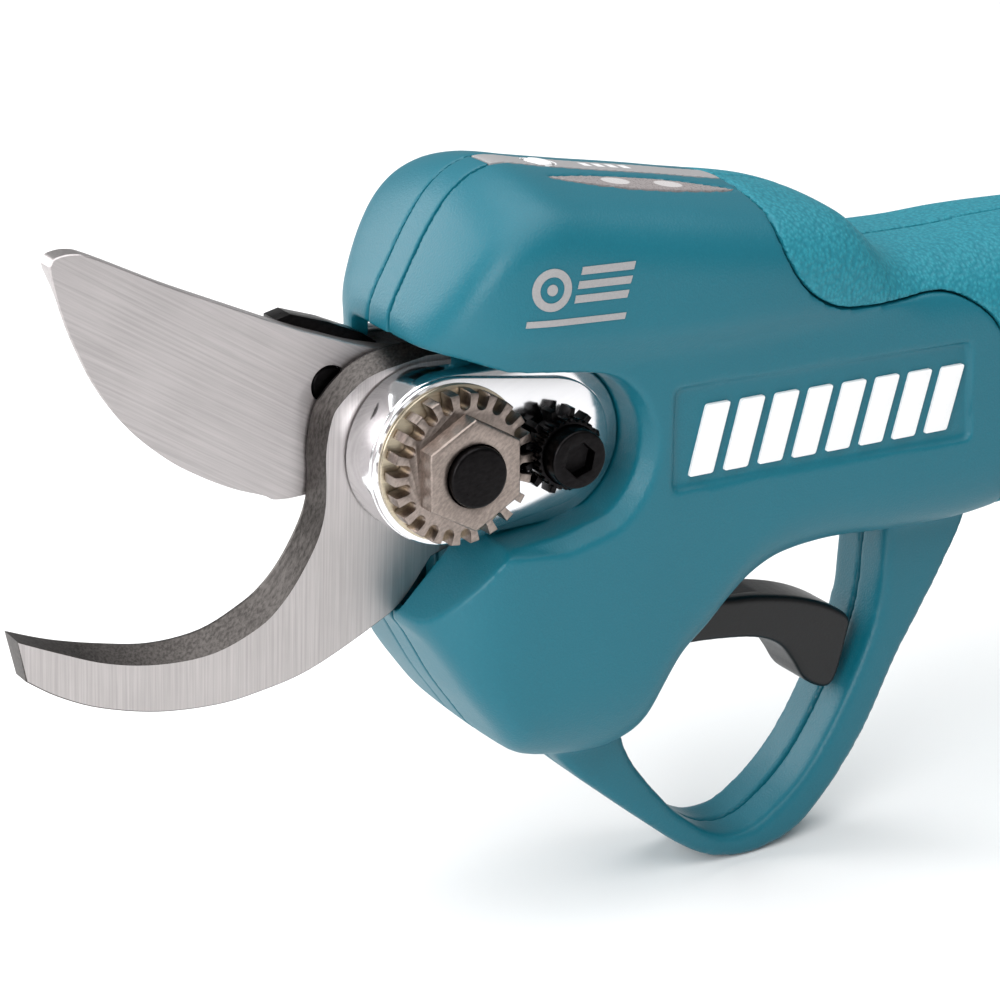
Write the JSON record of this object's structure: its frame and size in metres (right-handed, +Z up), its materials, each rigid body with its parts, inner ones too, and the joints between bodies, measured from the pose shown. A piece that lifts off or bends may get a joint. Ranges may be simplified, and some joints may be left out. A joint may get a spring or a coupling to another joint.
{
  "type": "battery electric pruner",
  "caption": "Hand-held battery electric pruner: bypass blades on a bolted pivot, geared motor in a clam-shell body, trigger in a guard loop, slide-on battery.",
  "frame": {"origin": "middle of the base that the tool stands on: guard bow in front, battery at the rear", "axes": "+X from the blade tips back to the battery, +Y to the right side of the tool, +Z up; the blades turn about Y"},
  "size_m": [0.3047, 0.074, 0.1309],
  "materials": {
    "shell_teal": "satin moulded, teal",
    "grip_rubber": "fine pebbled soft grip, paler teal",
    "panel_grey": "satin grey",
    "button_white": "satin white",
    "lens_grey": "smooth grey lens",
    "blade_steel": "ground",
    "black_steel": "black oxide",
    "polished_steel": "polished",
    "nickel_steel": "worn warm nickel",
    "bush_brass": "turned",
    "gear_steel": "machined, lightly oiled",
    "frame_alloy": "machined and bead blasted",
    "copper_winding": "varnished copper wire on lamination",
    "magnet_nickel": "nickel plated magnet",
    "trigger_black": "satin black",
    "black_plastic": "spark-eroded black",
    "button_grey": "satin grey",
    "board_green": "green board lacquer",
    "cell_wrap": "cell can in a thin printed-free sleeve"
  },
  "bodies": {
    "housing": {"left_shell": "shell_teal", "right_shell": "shell_teal", "upper_strip": "shell_teal", "lower_strip": "shell_teal", "left_grip": "grip_rubber", "right_grip": "grip_rubber", "display_panel": "panel_grey", "status_lens": "lens_grey", "hook_blade": "blade_steel", "pivot_arm": "polished_steel", "pivot_bolt": "black_steel", "pivot_bush": "bush_brass", "nut_washer": "bush_brass", "lock_screw": "black_steel", "gear_frame": "frame_alloy", "cross_bearing": "gear_steel", "output_bearing": "gear_steel", "gearbox_cup": "frame_alloy", "ring_gear": "black_steel", "motor_can": "black_steel", "stator": "copper_winding", "front_bearing": "gear_steel", "rear_bearing": "gear_steel", "motor_end_cap": "black_plastic", "trigger_pin": "gear_steel", "trigger_spring": "gear_steel", "control_board": "board_green", "terminal_block": "black_plastic", "housing_screw_1": "black_steel", "housing_screw_2": "black_steel", "housing_screw_3": "black_steel", "housing_screw_4": "black_steel", "housing_screw_5": "black_steel", "housing_screw_6": "black_steel"},
    "upper_blade": {"upper_blade": "blade_steel", "sector_gear": "black_steel", "drive_pin": "black_steel"},
    "cross_shaft": {"cross_shaft": "gear_steel", "cross_mitre": "gear_steel"},
    "planet_carrier": {"planet_carrier": "gear_steel", "drive_mitre": "gear_steel"},
    "planet_1": {"planet_gear_1": "gear_steel"},
    "planet_2": {"planet_gear_2": "gear_steel"},
    "planet_3": {"planet_gear_3": "gear_steel"},
    "rotor": {"rotor": "magnet_nickel", "motor_shaft": "gear_steel"},
    "trigger": {"trigger": "trigger_black", "trigger_magnet": "magnet_nickel"},
    "power_button": {"power_button": "button_white"},
    "adjust_nut": {"adjust_nut": "nickel_steel"},
    "lock_gear": {"lock_gear": "black_steel"},
    "battery": {"battery_front": "black_plastic", "battery_rear": "black_plastic", "cell_1": "cell_wrap", "cell_2": "cell_wrap", "cell_3": "cell_wrap", "cell_4": "cell_wrap", "cell_5": "cell_wrap"},
    "release_button": {"release_button": "button_grey"}
  },
  "joints": [
    {"name": "blade_pivot", "type": "hinge", "parent": "housing", "child": "upper_blade", "pos_m": [-0.08065, 0.002, 0.0864], "axis": [0, -1, 0], "range_deg": [0, 50]},
    {"name": "cross_shaft_spin", "type": "hinge", "parent": "housing", "child": "cross_shaft", "pos_m": [-0.05065, 0.01, 0.0864], "axis": [0, -1, 0], "range_deg": [-250, 0]},
    {"name": "carrier_spin", "type": "hinge", "parent": "housing", "child": "planet_carrier", "pos_m": [-0.03265, 0.0045, 0.0864], "axis": [1, 0, 0], "range_deg": [-250, 0]},
    {"name": "planet_1_spin", "type": "hinge", "parent": "planet_carrier", "child": "planet_1", "pos_m": [-0.02745, 0.01125, 0.0864], "axis": [1, 0, 0], "range_deg": [0, 700]},
    {"name": "planet_2_spin", "type": "hinge", "parent": "planet_carrier", "child": "planet_2", "pos_m": [-0.02745, 0.00112, 0.09225], "axis": [1, 0, 0], "range_deg": [0, 700]},
    {"name": "planet_3_spin", "type": "hinge", "parent": "planet_carrier", "child": "planet_3", "pos_m": [-0.02745, 0.00112, 0.08055], "axis": [1, 0, 0], "range_deg": [0, 700]},
    {"name": "rotor_spin", "type": "hinge", "parent": "housing", "child": "rotor", "pos_m": [-0.00165, 0.0045, 0.0864], "axis": [1, 0, 0], "range_deg": [-1125, 0]},
    {"name": "trigger_pull", "type": "hinge", "parent": "housing", "child": "trigger", "pos_m": [-0.04265, 0, 0.0484], "axis": [0, -1, 0], "range_deg": [0, 14], "stiffness_Nm_per_rad": 0.1, "springref_deg": -28.65},
    {"name": "power_button_press", "type": "slide", "parent": "housing", "child": "power_button", "axis": [-0.1786, 0, -0.9839], "range_m": [0, 0.0008], "stiffness_N_per_m": 600, "springref_m": -0.001},
    {"name": "nut_turn", "type": "hinge", "parent": "housing", "child": "adjust_nut", "pos_m": [-0.08065, -0.017, 0.0864], "axis": [0, -1, 0], "range_deg": [-30, 30]},
    {"name": "lock_gear_turn", "type": "hinge", "parent": "housing", "child": "lock_gear", "pos_m": [-0.06265, -0.017, 0.0864], "axis": [0, -1, 0], "range_deg": [-55, 55]},
    {"name": "battery_slide", "type": "slide", "parent": "housing", "child": "battery", "axis": [0, 0, -1], "range_m": [0, 0.07]},
    {"name": "release_press", "type": "slide", "parent": "battery", "child": "release_button", "axis": [0, 0, -1], "range_m": [0, 0.003], "stiffness_N_per_m": 300, "springref_m": -0.002}
  ],
  "couplings": [
    {"joint": "cross_shaft_spin", "follows": "blade_pivot", "ratio": -5},
    {"joint": "carrier_spin", "follows": "blade_pivot", "ratio": -5},
    {"joint": "planet_1_spin", "follows": "blade_pivot", "ratio": 14},
    {"joint": "planet_2_spin", "follows": "blade_pivot", "ratio": 14},
    {"joint": "planet_3_spin", "follows": "blade_pivot", "ratio": 14},
    {"joint": "rotor_spin", "follows": "blade_pivot", "ratio": -22.5},
    {"joint": "lock_gear_turn", "follows": "nut_turn", "ratio": -1.8333}
  ]
}
